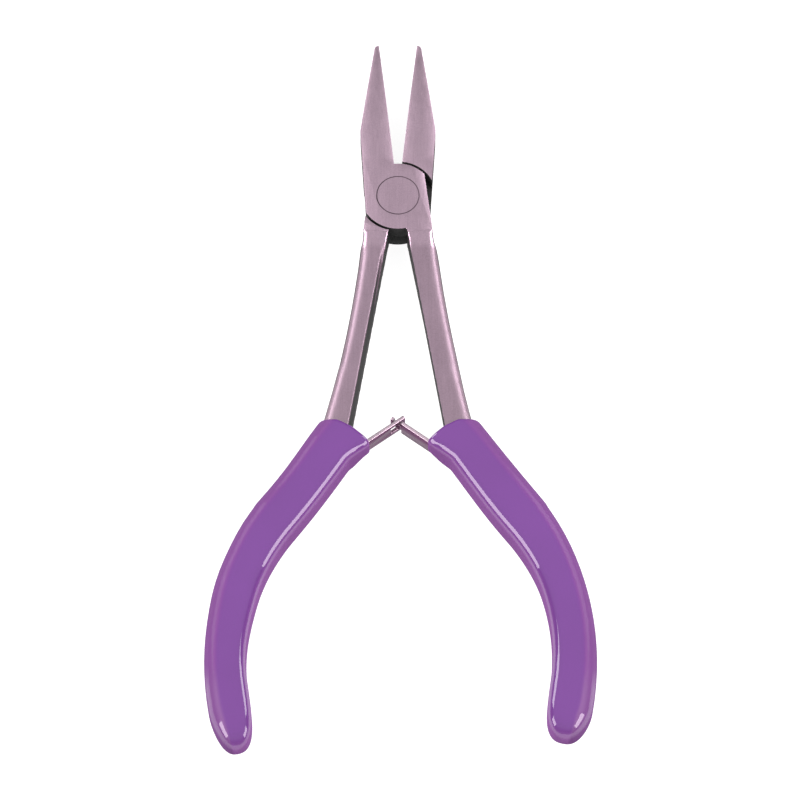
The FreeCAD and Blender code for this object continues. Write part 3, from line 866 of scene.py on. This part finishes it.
class PLIERS_OT_stage(bpy.types.Operator):
    """Adds the floor, the lamps, the sky and the camera"""

    bl_idname = "pliers.stage"
    bl_label = "Stage"

    def execute(self, context):
        studio = context.scene.pliers_studio
        self.floor()
        self.sky(context.scene, studio)
        for side in (1, -1):
            for name, (across, along, up), width, height, power, colour in LAMPS:
                direction = Vector((across * side, along, up))
                self.lamp(name, direction, width, height, getattr(studio, power), colour)
        data = bpy.data.cameras.new("camera")
        data.sensor_width = SENSOR
        data.lens = data.sensor_width * studio.distance / studio.field
        data.clip_start = CLIP
        camera = bpy.data.objects.new("camera", data)
        back = Vector((0, -math.sin(studio.tilt), math.cos(studio.tilt)))
        camera.location = CAMERA_AIM + back * studio.distance
        camera.rotation_euler = (studio.tilt, 0, 0)
        context.scene.collection.objects.link(camera)
        context.scene.camera = camera
        context.scene.view_settings.view_transform = "Standard"
        return {"FINISHED"}

    def floor(self):
        """A pale floor with the pliers' shadow, white to the camera and in reflections."""
        material = bpy.data.materials.new("floor")
        tree = Tree(material)
        seen, glossy, through = (
            tree.node("ShaderNodeLightPath", output=ray)
            for ray in ("Is Camera Ray", "Is Glossy Ray", "Is Transmission Ray"))
        mirrored = tree.maths("MAXIMUM", glossy, through) * FLOOR_MIRRORED
        strength = tree.maths("MAXIMUM", seen * FLOOR_SEEN, mirrored)
        matt = tree.node("ShaderNodeBsdfDiffuse", inputs={"Color": rgba([FLOOR_TONE] * 3)})
        glow = tree.node("ShaderNodeEmission", inputs={"Strength": strength})
        both = tree.node("ShaderNodeAddShader", inputs={0: matt, 1: glow})
        tree.node("ShaderNodeOutputMaterial", inputs={"Surface": both})
        bm = bmesh.new()
        bmesh.ops.create_grid(bm, x_segments=1, y_segments=1, size=FLOOR_REACH)
        bmesh.ops.translate(bm, vec=(0, 0, CAD_LOW[2] - FLOOR_DROP), verts=bm.verts)
        finished(bm, "floor", material)

    def sky(self, scene, studio):
        """A soft sky, brightest overhead."""
        world = bpy.data.worlds.new("sky")
        scene.world = world
        tree = Tree(world)
        height = tree.part(tree.coordinates("Generated"), 2)
        strength = tree.ramp(height, *SKY_HEIGHTS, studio.horizon, studio.sky)
        inputs = {"Color": (1, 1, 1, 1), "Strength": strength}
        sky = tree.node("ShaderNodeBackground", inputs=inputs)
        tree.node("ShaderNodeOutputWorld", inputs={"Surface": sky})

    def lamp(self, name, direction, width, height, power, colour):
        """A flat lamp that looks back at the pliers from one direction."""
        data = bpy.data.lights.new(name, "AREA")
        data.shape = "RECTANGLE"
        data.size = width
        data.size_y = height
        data.energy = power
        data.color = colour
        lamp = bpy.data.objects.new(name, data)
        lamp.location = LAMP_AIM + direction.normalized() * LAMP_DISTANCE
        lamp.rotation_euler = direction.to_track_quat("Z", "Y").to_euler()
        bpy.context.scene.collection.objects.link(lamp)


class PLIERS_PT_sidebar(bpy.types.Panel):
    """Lists the settings and the steps that build the pliers"""

    bl_label = "Needle nose pliers"
    bl_idname = "PLIERS_PT_sidebar"
    bl_space_type = "VIEW_3D"
    bl_region_type = "UI"
    bl_category = "Pliers"

    def draw(self, context):
        for group in settings(context):
            box = self.layout.box()
            for name in group.bl_rna.properties.keys():
                if name not in ("rna_type", "name"):
                    box.prop(group, name)
        for step in STEPS:
            self.layout.operator(step.bl_idname)


GROUPS = {
    "pliers_sizes": PliersSizes,
    "pliers_finish": PliersFinish,
    "pliers_studio": PliersStudio,
}
STEPS = (
    PLIERS_OT_forged_halves,
    PLIERS_OT_rivets,
    PLIERS_OT_leaf_springs,
    PLIERS_OT_dipped_grips,
    PLIERS_OT_stage,
)


def register():
    for kind in (*GROUPS.values(), *STEPS, PLIERS_PT_sidebar):
        bpy.utils.register_class(kind)
    for name, kind in GROUPS.items():
        setattr(bpy.types.Scene, name, PointerProperty(type=kind))


def unregister():
    for name in GROUPS:
        delattr(bpy.types.Scene, name)
    for kind in reversed((*GROUPS.values(), *STEPS, PLIERS_PT_sidebar)):
        bpy.utils.unregister_class(kind)


def main():
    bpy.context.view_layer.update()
    register()
    for step in STEPS:
        getattr(bpy.ops.pliers, step.bl_idname.split(".")[1])()


if __name__ == "__main__":
    main()
